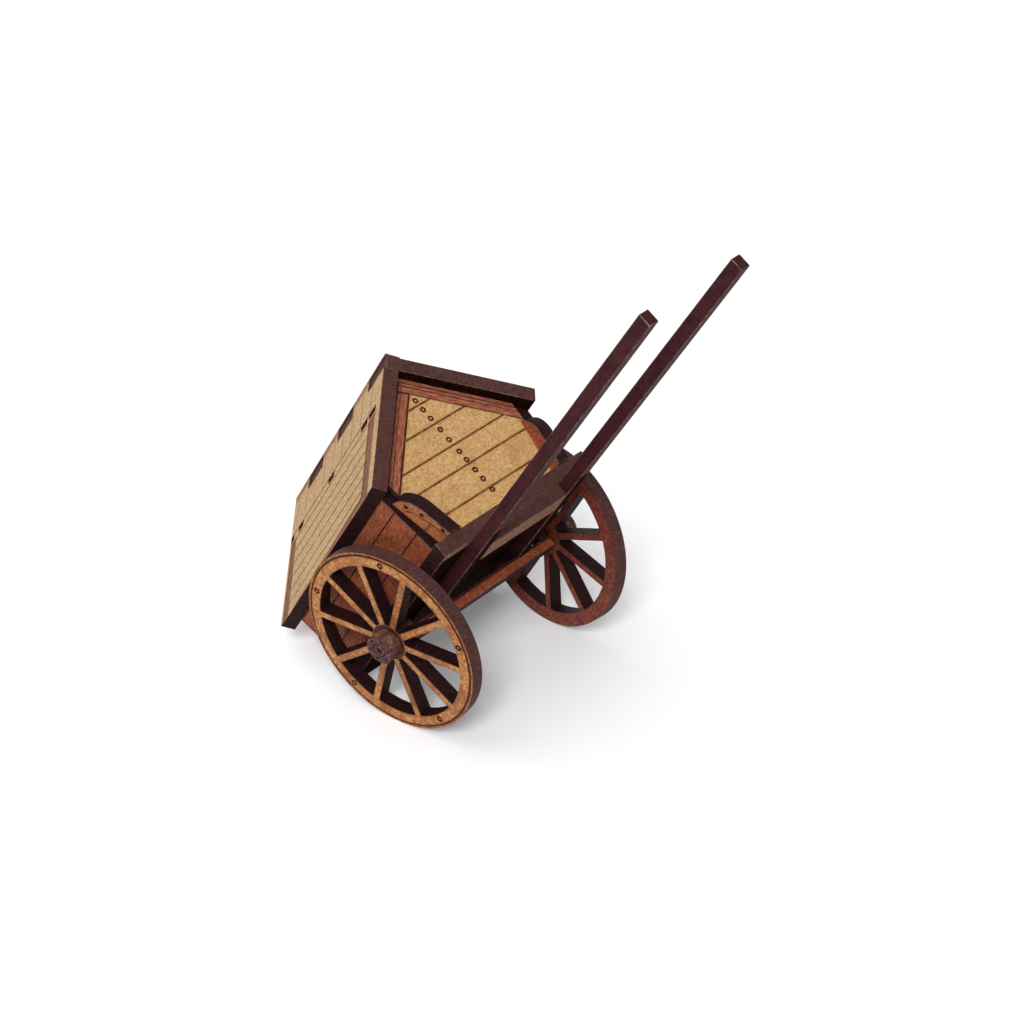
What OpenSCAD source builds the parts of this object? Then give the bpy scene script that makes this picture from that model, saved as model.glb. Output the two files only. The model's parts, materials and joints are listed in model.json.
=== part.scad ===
/* [Sheet] */
// Thickness of the board that every flat piece is cut from
sheet = 2; // [1.8:0.1:2.2]

/* [Body] */
// Half width of the floor board
floor_half_w = 13.8; // [13:0.1:13.9]
// Front edge of the floor board, ahead of the axle
floor_front_x = 17.2; // [16:0.1:19]
// Rear edge of the floor board, which rests on the ground when the cart is parked
floor_rear_x = -16; // [-17:0.1:-15.8]
// Underside of the floor board, above the axle line
floor_z = 1.2; // [1.1:0.1:1.6]
// Front ends of the two side walls
wall_front_x = 14.7; // [14.5:0.1:15]
// Rear ends of the two side walls
wall_rear_x = -15.6; // [-15.8:0.1:-15]
// Outer face of a side wall at the floor, from the middle
wall_foot_y = 12.8; // [12:0.1:13]
// Outward lean of the side walls
flare = 6; // [4:0.5:7]
// Front face of the front gable
gable_front_x = 15.4; // [15:0.1:15.6]
// Rear face of the rear gable
gable_rear_x = -15.8; // [-16:0.1:-15.6]

/* [Roof] */
// Slope of both roof panels
roof_slope = 42.5; // [40:0.5:45]
// Height of the ridge above the axle line
ridge_z = 27.4; // [26:0.1:28]
// Length of a panel from ridge to eave
panel_slope_len = 20.6; // [19:0.1:20.8]
// Front edge of the roof
roof_front_x = 16.9; // [16.5:0.1:18]
// Rear edge of the roof
roof_rear_x = -18.1; // [-19:0.1:-17]
// Number of fingers along the ridge
ridge_fingers = 6; // [4:2:8]
// How far the right panel's fingers stand out through the left panel
finger_proud = 0.3; // [0:0.1:0.4]
// How far the left panel's fingers stop short of the right panel's face
finger_short = 0.2; // [0:0.1:0.4]

/* [Cheeks] */
// Front edge of a cheek, which starts at the side wall's front end
cheek_front_x = 17.5; // [17:0.1:17.8]
// Inner face of a cheek at the floor, from the middle
cheek_foot_y = 9.2; // [9.1:0.1:9.4]
// Outward lean of the cheeks
cheek_lean = 12.5; // [11:0.5:13]
// Top of a cheek above the axle line, measured up its slope from the floor
cheek_top_z = 11.8; // [11:0.1:12]
// Radius of the cheek's top front corner
cheek_round = 3.8; // [3:0.1:4.5]

/* [Shafts] */
// Outer face of a shaft from the middle
shaft_outer_y = 9; // [8.6:0.1:9.6]
// Width of a shaft at its root
shaft_w = 1.8; // [1.6:0.1:2]
// Width of a shaft at its tip
shaft_tip_w = 1.6; // [1.4:0.1:1.8]
// Thickness of a shaft
shaft_t = 1.8; // [1.6:0.1:2]
// Tip of the shafts ahead of the axle
shaft_tip_x = 64.4; // [55:0.1:70]
// Rear end of the shafts
shaft_rear_x = -5; // [-6:0.1:-3]
// Depth of the bar between the shafts under the floor's front edge
crossbar_d = 4; // [3:0.1:4.2]

/* [Axle] */
// Height of the axle beam
beam_h = 1.6; // [1.4:0.1:2]
// Underside of the axle beam
beam_z = -1.8; // [-1.9:0.1:-1.7]
// Half length of the axle beam, up to the wheel's inner side
beam_half_l = 13.8; // [13.4:0.1:13.9]
// Length of the raised block at each end of the axle beam, that carries an arm
beam_end_l = 1.6; // [1.2:0.1:2]
// Top of a raised end block above the axle line
beam_end_z = 0.8; // [0.6:0.1:1]
// Radius of the round axle arm that the wheel turns on
arm_r = 0.6; // [0.5:0.05:0.7]
// Radial clearance between axle arm and wheel
arm_gap = 0.03; // [0.02:0.01:0.06]
// Gap between an axle arm's end and the hub cap
arm_end_gap = 0.3; // [0.2:0.1:0.6]

/* [Wheels] */
// Outer radius of a wheel
wheel_r = 13; // [12.5:0.1:13.2]
// Inner radius of the rim
rim_inner_r = 11.1; // [10.8:0.1:11.4]
// Middle of a wheel's thickness from the middle of the cart
wheel_y = 15.2; // [15.1:0.1:16]
// Lean of each wheel, top outwards
camber = 6; // [4:0.5:7]
// Number of spokes
spokes = 10; // [8:2:12]
// Width of a spoke
spoke_w = 0.95; // [0.8:0.05:1.2]
// Angle of the right wheel's first spoke from the forward direction
spoke_start_right = 15.5; // [0:0.1:36]
// Angle of the left wheel's first spoke from the forward direction
spoke_start_left = 1.6; // [0:0.1:36]
// Radius of the hub that is cut with the spokes
hub_r = 2.6; // [2.3:0.1:3]
// Radius of the hub cap on the outer side
cap_r = 2; // [1.6:0.1:2.2]
// Thickness of the hub cap
cap_t = 2; // [1.6:0.1:2.2]

/* [Hidden] */
$fn = 96;

right = -1;
left = 1;
floor_top_z = floor_z + sheet;
roof_len = roof_front_x - roof_rear_x;
finger_len = roof_len / ridge_fingers;
// How far a cutting shape reaches past the faces that it cuts
through = 1;
// How deep each round axle arm is rooted in the beam's end
arm_root = 1.5;
// Outward reach of shapes that are trimmed to the body's outline
trim_reach = 18;

// How far the axle line stands above the ground at a given tip angle: a leaning wheel's lowest point
function axle_height(a) =
  wheel_r * sqrt(pow(sin(a), 2) + pow(cos(a) * cos(camber), 2)) + sheet / 2 * cos(a) * sin(camber);

// Tip angle at which the wheels and the floor board's rear lower edge touch the ground together
rest_reach = norm([floor_rear_x, floor_z]);
rest_lead = atan2(floor_z, -floor_rear_x);
function tip_for(height) = rest_lead + asin(height / rest_reach);
tip_first_guess = 58;
tip_angle = tip_for(axle_height(tip_for(axle_height(tip_first_guess))));
axle_z = axle_height(tip_angle);

// Ends of the whole cart along the ground, which set the origin midway between them
reach_front = shaft_tip_x * cos(tip_angle) - (floor_z - shaft_t) * sin(tip_angle);
reach_rear = roof_rear_x * cos(tip_angle) - (ridge_z + finger_proud * sin(roof_slope)) * sin(tip_angle);
origin_x = (reach_front + reach_rear) / 2;

mdf_face = [0.80, 0.60, 0.37];
mdf_dark = [0.27, 0.16, 0.13];
wheel_face = [0.68, 0.42, 0.22];

// Puts a piece drawn on the level cart into its parked place, tipped back on its floor board
module parked() translate([-origin_x, 0, axle_z]) rotate([0, -tip_angle, 0]) children();

// Draws an outline given as [x, z] and gives it a thickness from y0 to y1
module upright_sheet(y0, y1) translate([0, y1, 0]) rotate([90, 0, 0]) linear_extrude(y1 - y0) children();

// Leans a side piece outwards about the outer lower edge of its side wall
module flared(side)
  translate([0, side * wall_foot_y, floor_top_z]) rotate([-side * flare, 0, 0])
    translate([0, -side * wall_foot_y, -floor_top_z]) children();

// The space between the floor's top and the roof's underside, as long as asked
module under_roof(x0, x1) {
  inner_ridge_z = ridge_z - sheet / cos(roof_slope);
  eave_z = inner_ridge_z - trim_reach * tan(roof_slope);
  translate([x0, 0, 0]) rotate([90, 0, 90]) linear_extrude(x1 - x0)
    polygon([
      [-trim_reach, floor_top_z], [trim_reach, floor_top_z],
      [trim_reach, eave_z], [0, inner_ridge_z], [-trim_reach, eave_z]
    ]);
}

module floor_board() color(mdf_face) parked()
  translate([floor_rear_x, -floor_half_w, floor_z])
    cube([floor_front_x - floor_rear_x, 2 * floor_half_w, sheet]);

// The flat slab that a side wall is trimmed from, leaning with the flare
module side_slab(side, x0, x1)
  flared(side) translate([x0, side > 0 ? wall_foot_y - sheet : -wall_foot_y, floor_top_z - through])
    cube([x1 - x0, sheet, trim_reach]);

module side_wall(side) color(mdf_face) parked() intersection() {
  side_slab(side, wall_rear_x, wall_front_x);
  under_roof(wall_rear_x - through, wall_front_x + through);
}

module cheek_outline() {
  centre_x = cheek_front_x - cheek_round;
  centre_z = cheek_top_z - cheek_round;
  base_z = floor_top_z - through;
  rear_x = centre_x - cheek_round;
  translate([rear_x, base_z]) square([cheek_round, cheek_top_z - base_z]);
  translate([rear_x, base_z]) square([2 * cheek_round, centre_z - base_z]);
  translate([centre_x, centre_z]) circle(cheek_round);
}

module cheek_solid(side) intersection() {
  translate([0, side * cheek_foot_y, floor_top_z]) rotate([-side * cheek_lean, 0, 0])
    translate([0, side > 0 ? 0 : -sheet, -floor_top_z]) upright_sheet(0, sheet) cheek_outline();
  under_roof(wall_front_x, cheek_front_x + through);
}

module cheek(side) color(mdf_face) parked() cheek_solid(side);

// The body's inside between the two side walls
module between_walls(x0, x1) intersection() {
  under_roof(x0, x1);
  wall_reach = 2 * trim_reach;
  inner_foot = wall_foot_y - sheet / cos(flare);
  lean = tan(flare);
  translate([x0, 0, 0]) rotate([90, 0, 90]) linear_extrude(x1 - x0)
    polygon([
      [-inner_foot, floor_top_z], [inner_foot, floor_top_z],
      [inner_foot + wall_reach * lean, floor_top_z + wall_reach],
      [-inner_foot - wall_reach * lean, floor_top_z + wall_reach]
    ]);
}

module front_gable() color(mdf_face) parked() difference() {
  between_walls(gable_front_x - sheet, gable_front_x);
  cheek_solid(right);
  cheek_solid(left);
}

module rear_gable() color(mdf_face) parked() between_walls(gable_rear_x, gable_rear_x + sheet);

// One roof board from a start near the ridge line down to the eave on its side
module roof_board(side, x0, x1, start)
  translate([x0, 0, ridge_z]) rotate([side > 0 ? -roof_slope : 180 + roof_slope, 0, 0])
    translate([0, start, side > 0 ? -sheet : 0])
      cube([x1 - x0, panel_slope_len - start, sheet]);

// Fingers are counted from the rear: even ones belong to the right panel, odd ones to the left
module roof_panel(side) color(mdf_face) parked() difference() {
  roof_board(side, roof_rear_x, roof_front_x, side > 0 ? finger_short : -finger_proud);
  for (i = [0 : ridge_fingers - 1])
    if ((i % 2 == 0) == (side > 0))
      roof_board(-side, roof_rear_x + i * finger_len, roof_rear_x + (i + 1) * finger_len, -through);
}

module shaft_outline() polygon([
  [shaft_rear_x, shaft_outer_y - shaft_w], [floor_front_x, shaft_outer_y - shaft_w],
  [shaft_tip_x, shaft_outer_y - shaft_tip_w], [shaft_tip_x, shaft_outer_y], [shaft_rear_x, shaft_outer_y]
]);

module beam_block(grow) translate([-sheet / 2, -beam_half_l - grow, beam_z])
  cube([sheet, 2 * (beam_half_l + grow), beam_h]);

module shaft(side) color(mdf_dark) parked() difference() {
  scale([1, side, 1]) translate([0, 0, floor_z - shaft_t]) linear_extrude(shaft_t) shaft_outline();
  beam_block(through);
}

module shaft_crossbar() color(mdf_dark) parked()
  translate([floor_front_x - crossbar_d, -(shaft_outer_y - shaft_w), floor_z - shaft_t])
    cube([crossbar_d, 2 * (shaft_outer_y - shaft_w), shaft_t]);

// Stands the wheel's own axis, drawn along +Z pointing outwards, in its leaning place
module at_wheel(side)
  translate([0, side * wheel_y, 0]) rotate([side > 0 ? -90 - camber : 90 + camber, 0, 0]) children();

module axle_beam() color(wheel_face) parked() {
  beam_block(0);
  for (side = [right, left]) translate([-sheet / 2, side > 0 ? beam_half_l - beam_end_l : -beam_half_l, beam_z])
    cube([sheet, beam_end_l, beam_end_z - beam_z]);
  for (side = [right, left]) at_wheel(side)
    translate([0, 0, -sheet / 2 - arm_root])
      cylinder(h = arm_root + sheet + cap_t / 2 - arm_end_gap, r = arm_r);
}

// One opening between two spokes, bounded by the rim, the hub and the spokes' straight sides
module spoke_opening() {
  pitch = 360 / spokes;
  corner = spoke_w / 2 / sin(pitch / 2);
  reach = 2 * wheel_r;
  difference() {
    intersection() {
      circle(rim_inner_r);
      translate([corner * cos(pitch / 2), corner * sin(pitch / 2)])
        polygon([[0, 0], [reach, 0], [reach * cos(pitch), reach * sin(pitch)]]);
    }
    circle(hub_r);
  }
}

function spoke_start(side) = side > 0 ? spoke_start_left : spoke_start_right;

module wheel(side) color(wheel_face) parked() at_wheel(side) translate([0, 0, -sheet / 2]) difference() {
  cylinder(h = sheet, r = wheel_r);
  for (i = [0 : spokes - 1]) rotate([0, 0, -side * (spoke_start(side) + (i + (side - 1) / 2) * 360 / spokes)])
    translate([0, 0, -through]) linear_extrude(sheet + 2 * through) spoke_opening();
  translate([0, 0, -through]) cylinder(h = sheet + 2 * through, r = arm_r + arm_gap);
}

module hub_cap(side) color(mdf_dark) parked() at_wheel(side) translate([0, 0, sheet / 2]) difference() {
  cylinder(h = cap_t, r = cap_r);
  translate([0, 0, -through]) cylinder(h = through + cap_t / 2, r = arm_r + arm_gap);
}

floor_board();
side_wall(right);  // side_wall_right
side_wall(left);  // side_wall_left
front_gable();
rear_gable();
cheek(right);  // cheek_right
cheek(left);  // cheek_left
roof_panel(right);  // roof_right
roof_panel(left);  // roof_left
shaft(right);  // shaft_right
shaft(left);  // shaft_left
shaft_crossbar();
axle_beam();
wheel(right);  // wheel_right
wheel(left);  // wheel_left
hub_cap(right);  // hub_cap_right
hub_cap(left);  // hub_cap_left
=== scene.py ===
"""Finishes and laser-engraved detail of a covered two-wheeled model cart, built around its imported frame."""

import json
import logging
import math
from collections.abc import Iterator
from contextlib import contextmanager
from dataclasses import dataclass, field
from enum import Enum
from typing import Any

import bmesh
import bpy
from mathutils import Matrix, Vector


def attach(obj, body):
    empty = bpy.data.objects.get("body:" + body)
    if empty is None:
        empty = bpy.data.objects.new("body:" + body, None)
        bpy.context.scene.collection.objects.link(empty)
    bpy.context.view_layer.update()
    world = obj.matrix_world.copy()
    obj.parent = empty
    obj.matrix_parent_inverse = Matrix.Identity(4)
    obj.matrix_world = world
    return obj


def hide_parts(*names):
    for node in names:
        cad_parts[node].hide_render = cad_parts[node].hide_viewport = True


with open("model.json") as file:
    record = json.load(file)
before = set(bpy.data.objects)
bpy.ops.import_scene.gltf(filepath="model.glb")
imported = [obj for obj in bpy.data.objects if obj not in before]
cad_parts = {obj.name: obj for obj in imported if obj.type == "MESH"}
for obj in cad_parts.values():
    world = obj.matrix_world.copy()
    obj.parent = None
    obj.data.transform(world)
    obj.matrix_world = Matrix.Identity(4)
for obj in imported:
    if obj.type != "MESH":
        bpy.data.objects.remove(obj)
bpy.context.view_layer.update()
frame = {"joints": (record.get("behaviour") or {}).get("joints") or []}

LOG = logging.getLogger("cart")
# Pieces are drawn in millimetres and brought to metres when they are settled in place
MM = 0.001
# Name of the vertex attribute that holds each point's place on its own flat board, in millimetres
BOARD_MM = "board_mm"
# How far a cutting shape stands out of the face that it cuts
PROUD = 0.5
# Width of the arris that the laser's heat and a touch of sanding leave along each cut
ARRIS_MM = 0.09
# A face looks a given way when the cosine between the two is above this
FACING = 0.9
# Points closer than this are merged, and edges that turn less than this are needless, after a cut
MERGE_MM = 0.0005
NEEDLESS_DEG = 0.3
# Slack in picking points and faces by their place
NEAR_MM = 0.01
# Steps along the board, per letter of a piece's and a node's name, to the stretch that a piece is cut from
GRAIN_STEPS_MM = (97.0, 7.0, 61.0)
# Width of the drifts in which smoke lies along a cut
DRIFT_MM = 1.9


class Side(Enum):
    """The cart's two sides, as seen from its tail; the value is the sign of y."""

    RIGHT = -1
    LEFT = 1

    @property
    def word(self) -> str:
        """The side's name as used in the frame's node names."""
        return self.name.lower()

    @property
    def wheel_body(self) -> "Body":
        """The body that the wheel on this side rides on."""
        return Body.RIGHT_WHEEL if self is Side.RIGHT else Body.LEFT_WHEEL


class Body(Enum):
    """The frame's moving bodies."""

    CART = "cart"
    RIGHT_WHEEL = "right_wheel"
    LEFT_WHEEL = "left_wheel"


class Slot(Enum):
    """The record's material slots."""

    PANEL = "mdf_panel"
    WHEEL = "mdf_wheel"
    DARK = "mdf_dark"


class Cut(Enum):
    """What a shape does to the piece that it is brought to."""

    AWAY = "DIFFERENCE"
    JOIN = "UNION"


# ---------------------------------------------------------------- finishes


def linear(code: str) -> tuple[float, float, float, float]:
    """Turns an sRGB hex colour into linear values.

    Args:
        code: Six hex digits after a hash sign.

    Returns:
        Red, green, blue and an alpha of one.
    """
    parts = [int(code[i : i + 2], 16) / 255 for i in (1, 3, 5)]
    flat = [p / 12.92 if p <= 0.04045 else ((p + 0.055) / 1.055) ** 2.4 for p in parts]
    return (*flat, 1.0)


def add_node(
    tree: bpy.types.NodeTree,
    kind: str,
    values: dict[str | int, Any] | None = None,
    links: dict[str | int, bpy.types.NodeSocket] | None = None,
    **settings: Any,
) -> bpy.types.Node:
    """Adds one node with its settings, socket values and links.

    Args:
        tree: The material's node tree.
        kind: The node's type after "ShaderNode".
        values: Values for unlinked sockets, by socket name or number.
        links: Sockets that feed this node, by socket name or number.
        **settings: The node's own properties.

    Returns:
        The new node.
    """
    node = tree.nodes.new("ShaderNode" + kind)
    for key, value in settings.items():
        setattr(node, key, value)
    for key, value in (values or {}).items():
        node.inputs[key].default_value = value
    for key, source in (links or {}).items():
        tree.links.new(source, node.inputs[key])
    return node


@dataclass(frozen=True)
class Stain:
    """A colour that lies over a finish in patches."""

    colour: str
    # Width of a patch
    size_mm: float
    # How much of it shows in the middle of a patch
    share: float
    # Patches begin and are full at these levels of a noise around 0.5
    begins: float = 0.46
    full: float = 0.7


@dataclass(frozen=True)
class Finish:
    """What every finish of this cart shares: a fine grain in three tones, stains, and smoke along the edges."""

    name: str
    # Tones of the grain, from its low to its high spots
    low: str
    middle: str
    high: str
    stains: tuple[Stain, ...] = ()
    # Smoke that the laser leaves beside its cuts, with its reach and how much shows
    smoke: str = ""
    smoke_reach_mm: float = 0.6
    smoke_share: float = 0.8
    grain_mm: float = 0.4
    # How the grain is drawn out: the pattern's place is multiplied by this after it is turned
    stretch: tuple[float, float, float] = (1.0, 1.0, 1.0)
    turn_deg: float = 0.0
    # Distance of the outer tones from the middle of the noise
    contrast: float = 0.16
    roughness: tuple[float, float] = (0.62, 0.8)
    ior: float = 1.36
    depth_mm: float = 0.03

    def material(self) -> bpy.types.Material:
        """The finish as a material, made the first time that it is asked for."""
        found = bpy.data.materials.get(self.name)
        if found:
            return found
        made = bpy.data.materials.new(self.name)
        made.use_nodes = True
        tree = made.node_tree
        shader = tree.nodes["Principled BSDF"]
        shader.inputs["IOR"].default_value = self.ior
        place = add_node(tree, "Attribute", attribute_name=BOARD_MM).outputs["Vector"]
        grain = self._grain(tree, place)
        colour = self._tones(tree, grain)
        for stain in self.stains:
            colour = self._stained(tree, place, colour, stain)
        if self.smoke:
            colour = self._smoked(tree, place, colour)
        tree.links.new(colour, shader.inputs["Base Color"])
        smooth, rough = self.roughness
        values = {"From Min": 0.3, "From Max": 0.7, "To Min": rough, "To Max": smooth}
        shine = add_node(tree, "MapRange", values, {"Value": grain})
        tree.links.new(shine.outputs["Result"], shader.inputs["Roughness"])
        bump = add_node(tree, "Bump", {"Strength": 0.6, "Distance": self.depth_mm * MM}, {"Height": grain})
        tree.links.new(bump.outputs["Normal"], shader.inputs["Normal"])
        return made

    def _grain(self, tree: bpy.types.NodeTree, place: bpy.types.NodeSocket) -> bpy.types.NodeSocket:
        """Adds the grain, turned and drawn out as the finish asks.

        Args:
            tree: The material's node tree.
            place: The point's place on its board, in millimetres.

        Returns:
            The grain, around 0.5.
        """
        turn = Vector((0, 0, -math.radians(self.turn_deg)))
        turned = add_node(tree, "Mapping", {"Rotation": turn}, {"Vector": place}, vector_type="POINT")
        drawn = add_node(tree, "VectorMath", {1: Vector(self.stretch)}, {0: turned.outputs[0]}, operation="MULTIPLY")
        values = {"Scale": 1 / self.grain_mm, "Detail": 3.0, "Roughness": 0.62}
        return add_node(tree, "TexNoise", values, {"Vector": drawn.outputs["Vector"]}).outputs["Fac"]

    def _tones(self, tree: bpy.types.NodeTree, grain: bpy.types.NodeSocket) -> bpy.types.NodeSocket:
        """Adds the ramp that gives the grain its three tones.

        Args:
            tree: The material's node tree.
            grain: The grain.

        Returns:
            The colour.
        """
        ramp = add_node(tree, "ValToRGB", links={"Fac": grain})
        stops = ramp.color_ramp.elements
        stops[0].position, stops[0].color = 0.5 - self.contrast, linear(self.low)
        stops[1].position, stops[1].color = 0.5 + self.contrast, linear(self.high)
        stops.new(0.5).color = linear(self.middle)
        return ramp.outputs["Color"]

    def _stained(
        self, tree: bpy.types.NodeTree, place: bpy.types.NodeSocket, colour: bpy.types.NodeSocket, stain: Stain
    ) -> bpy.types.NodeSocket:
        """Lays one stain over the colour.

        Args:
            tree: The material's node tree.
            place: The point's place on its board.
            colour: The colour so far.
            stain: The stain.

        Returns:
            The stained colour.
        """
        values = {"Scale": 1 / stain.size_mm, "Detail": 3.0, "Roughness": 0.6}
        patch = add_node(tree, "TexNoise", values, {"Vector": place})
        values = {"From Min": stain.begins, "From Max": stain.full, "To Max": stain.share}
        amount = add_node(tree, "MapRange", values, {"Value": patch.outputs["Fac"]})
        links = {0: amount.outputs["Result"], 6: colour}
        return add_node(tree, "Mix", {7: linear(stain.colour)}, links, data_type="RGBA").outputs[2]

    def _smoked(
        self, tree: bpy.types.NodeTree, place: bpy.types.NodeSocket, colour: bpy.types.NodeSocket
    ) -> bpy.types.NodeSocket:
        """Darkens the colour unevenly beside edges, which it finds from the turn of a rounded normal.

        Args:
            tree: The material's node tree.
            place: The point's place on its board.
            colour: The colour so far.

        Returns:
            The smoked colour.
        """
        rounded = add_node(tree, "Bevel", {"Radius": self.smoke_reach_mm * MM}, samples=6).outputs["Normal"]
        flat = add_node(tree, "NewGeometry").outputs["True Normal"]
        turn = add_node(tree, "VectorMath", links={0: rounded, 1: flat}, operation="DOT_PRODUCT")
        near = add_node(tree, "MapRange", {"From Min": 1.0, "From Max": 0.8}, {"Value": turn.outputs["Value"]})
        drift = add_node(tree, "TexNoise", {"Scale": 1 / DRIFT_MM, "Detail": 2.0}, {"Vector": place})
        values = {"From Min": 0.3, "From Max": 0.6, "To Min": 0.25, "To Max": self.smoke_share}
        level = add_node(tree, "MapRange", values, {"Value": drift.outputs["Fac"]})
        links = {0: near.outputs["Result"], 1: level.outputs["Result"]}
        amount = add_node(tree, "Math", links=links, operation="MULTIPLY").outputs[0]
        return add_node(tree, "Mix", {7: linear(self.smoke)}, {0: amount, 6: colour}, data_type="RGBA").outputs[2]


@dataclass(frozen=True)
class SandedFace(Finish):
    """The sanded face of medium density fibreboard.

    Its pressed fibres give a fine fleck and a dull, even surface. Real fibres are 0.05 mm wide; the
    grain of 0.4 mm is drawn coarser, so that it still shows.
    """


@dataclass(frozen=True)
class CharredEdge(Finish):
    """The laser-cut edge of fibreboard, burnt dark, with soot that gives it a faint purple, half-matt look.

    The laser's pulses lie 0.05 mm apart and leave flutes through the thickness; they are drawn wider,
    so that they still show.
    """

    grain_mm: float = 0.22
    stretch: tuple[float, float, float] = (1.0, 1.0, 0.3)
    contrast: float = 0.36
    roughness: tuple[float, float] = (0.5, 0.66)
    ior: float = 1.14
    depth_mm: float = 0.02


@dataclass(frozen=True)
class BurntLine(Finish):
    """A line scorched by one pass of the laser, whose brown char fades where the beam moved faster."""

    grain_mm: float = 0.9
    ior: float = 1.25
    depth_mm: float = 0.01


@dataclass(frozen=True)
class RasterBand(Finish):
    """An area that the laser has engraved line by line, 0.1 mm apart: red-brown, streaked along the passes."""

    grain_mm: float = 0.28
    stretch: tuple[float, float, float] = (0.2, 1.0, 0.3)
    contrast: float = 0.2
    depth_mm: float = 0.04


# Pale, clean board with orange-brown blooms of resin: the gable and the cheeks
BOARD_FACE = SandedFace(
    "fibreboard_sanded_face", "#906B3F", "#C09762", "#D4B481",
    (Stain("#B27A41", 1.7, 0.5), Stain("#814E26", 6.0, 0.35, 0.54, 0.8), Stain("#583117", 0.7, 0.75, 0.66, 0.76)),
    "#814C24", 0.7, grain_mm=0.3, contrast=0.26,
)
# Cheeks: the same board reddened by smoke that was drawn between them and the walls
CHEEK_FACE = SandedFace(
    "fibreboard_cheek_face", "#764022", "#9E5D38", "#AF704C",
    (Stain("#AF6F37", 1.4, 0.55), Stain("#562816", 2.6, 0.5, 0.54, 0.76)), "#461D12", 0.5, grain_mm=0.3,
)
# Roof boards: the same board a little greyer and more evenly worn, with small dark pits
ROOF_FACE = SandedFace(
    "fibreboard_roof_face", "#95744A", "#BA996D", "#CFB288",
    (Stain("#AB8052", 1.9, 0.45), Stain("#895F37", 7.0, 0.3, 0.54, 0.8), Stain("#623E21", 0.6, 0.7, 0.68, 0.78)),
    "#82542F", 0.5, 0.7,
)
# Ridge ends of the right board's fingers, scorched where they pass through the other board
SCORCHED_FACE = SandedFace("fibreboard_scorched_face", "#6E4630", "#946A48", "#AE8660", (Stain("#5A3424", 0.8, 0.6),))
# Side walls, brown from smoke that was drawn along them as they were cut
WALL_FACE = SandedFace(
    "fibreboard_smoked_wall", "#653118", "#8B4528", "#A35F3A",
    (Stain("#72311C", 1.6, 0.6), Stain("#481D11", 3.5, 0.5, 0.5, 0.75)), "#4D2115", 0.8,
)
# Faces inside the body, under the roof, the floor and the shafts, and the strip under the eaves, dark red-brown:
# painted shade where the light does not reach
PAINTED_SHADE_FACE = SandedFace(
    "fibreboard_sooted_face", "#0E0707", "#1C0E0C", "#2C1612", (Stain("#080505", 2.2, 0.8),), roughness=(0.6, 0.75),
    ior=1.03,
)
# Wheel faces: orange-brown, rubbed lighter where they are handled
WHEEL_FACE = SandedFace(
    "fibreboard_wheel_face", "#844B22", "#AB7039", "#C5925A",
    (Stain("#9C552C", 1.3, 0.6), Stain("#622C15", 3.6, 0.8, 0.49, 0.7), Stain("#441F12", 0.6, 0.7, 0.66, 0.76)),
    "#552615", 0.5, 0.85, roughness=(0.45, 0.65),
)
# Outermost ring of a wheel's face, where the tyre is drawn, browner than the felloes
TYRE_FACE = SandedFace("fibreboard_tyre_ring", "#6E3C20", "#94582E", "#AE7444", (Stain("#5A2A18", 1.0, 0.6),))
# Backs of the wheels: deep red-brown and slightly glossy with resin
WHEEL_BACK = SandedFace(
    "fibreboard_wheel_back", "#55231B", "#7A3729", "#954E38",
    (Stain("#8F4E2A", 1.6, 0.55), Stain("#441B18", 2.4, 0.6)), "#351514", 0.5, roughness=(0.45, 0.65),
)
# Hub between the spokes' roots and the cap, dark red-brown; on the axle beam the same colour is a painted shadow
# along its top
HUB_AND_SHADOW_FACE = SandedFace("fibreboard_hub_face", "#290E0E", "#451E1A", "#5D3028", (Stain("#1F0A0B", 0.8, 0.6),))
# Undersides outside the painted shade, brown with dark specks
PALE_FACE = SandedFace(
    "fibreboard_plain_back", "#5A3622", "#7D5436", "#93694B",
    (Stain("#673C25", 1.4, 0.5), Stain("#2C140C", 0.8, 0.9, 0.58, 0.7)), "#432216", 0.5,
)
# Cap's end face: dark red-brown with paler rubbed specks
CAP_FACE = SandedFace(
    "fibreboard_hub_cap_face", "#270F0E", "#47201D", "#6C413B",
    (Stain("#835851", 0.35, 0.7, 0.6, 0.72), Stain("#180809", 0.5, 0.8, 0.58, 0.68)),
    roughness=(0.4, 0.6), grain_mm=0.3,
)
# Axle beam's front, orange from the resin that the heat brought out
BEAM_FACE = SandedFace(
    "fibreboard_beam_face", "#82381F", "#AD562D", "#C37546", (Stain("#82311F", 1.2, 0.6),), "#542319", 0.3, 0.6
)
# Cut edges of the boards and the wheels' treads, purple-brown
EDGE = CharredEdge(
    "fibreboard_charred_edge", "#32201D", "#4C312E", "#634542",
    (Stain("#613324", 2.4, 0.45), Stain("#251819", 1.2, 0.4)),
)
# Cut edges nearly black, partly char that burnt longest and partly painted shade on edges that lie in shadow: eaves,
# curves, walls, spokes and the beam
DEEP_EDGE_AND_SHADE = CharredEdge(
    "fibreboard_deep_charred_edge", "#110708", "#261314", "#391F21",
    (Stain("#411B14", 1.6, 0.35), Stain("#0C0607", 0.9, 0.5)),
)
# All long sides of the shafts, dark purple-brown with redder stretches
SHAFT_EDGE = CharredEdge(
    "fibreboard_shaft_edge", "#241117", "#3B1B1F", "#4E2C30",
    (Stain("#1D0C10", 1.6, 0.5), Stain("#532723", 3.0, 0.35)),
)
# Arrises, dark brown to pinkish brown: char with a painted highlight where light glances off the corner
ARRIS_CHAR_AND_HIGHLIGHT = BurntLine(
    "laser_rubbed_arris", "#3D231D", "#614035", "#876356", (Stain("#2D1713", 1.4, 0.7),), roughness=(0.4, 0.55)
)
# Engraved lines: brown on the gable and cheeks, softer on the roof, nearly black on walls and wheels
LINE = BurntLine("laser_burnt_line", "#5A3416", "#7A4A22", "#96643A")
SOFT_LINE = BurntLine("laser_soft_line", "#7A5634", "#987250", "#AC8862")
DARK_LINE = BurntLine("laser_dark_line", "#2A130D", "#442014", "#5E3220")
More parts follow.
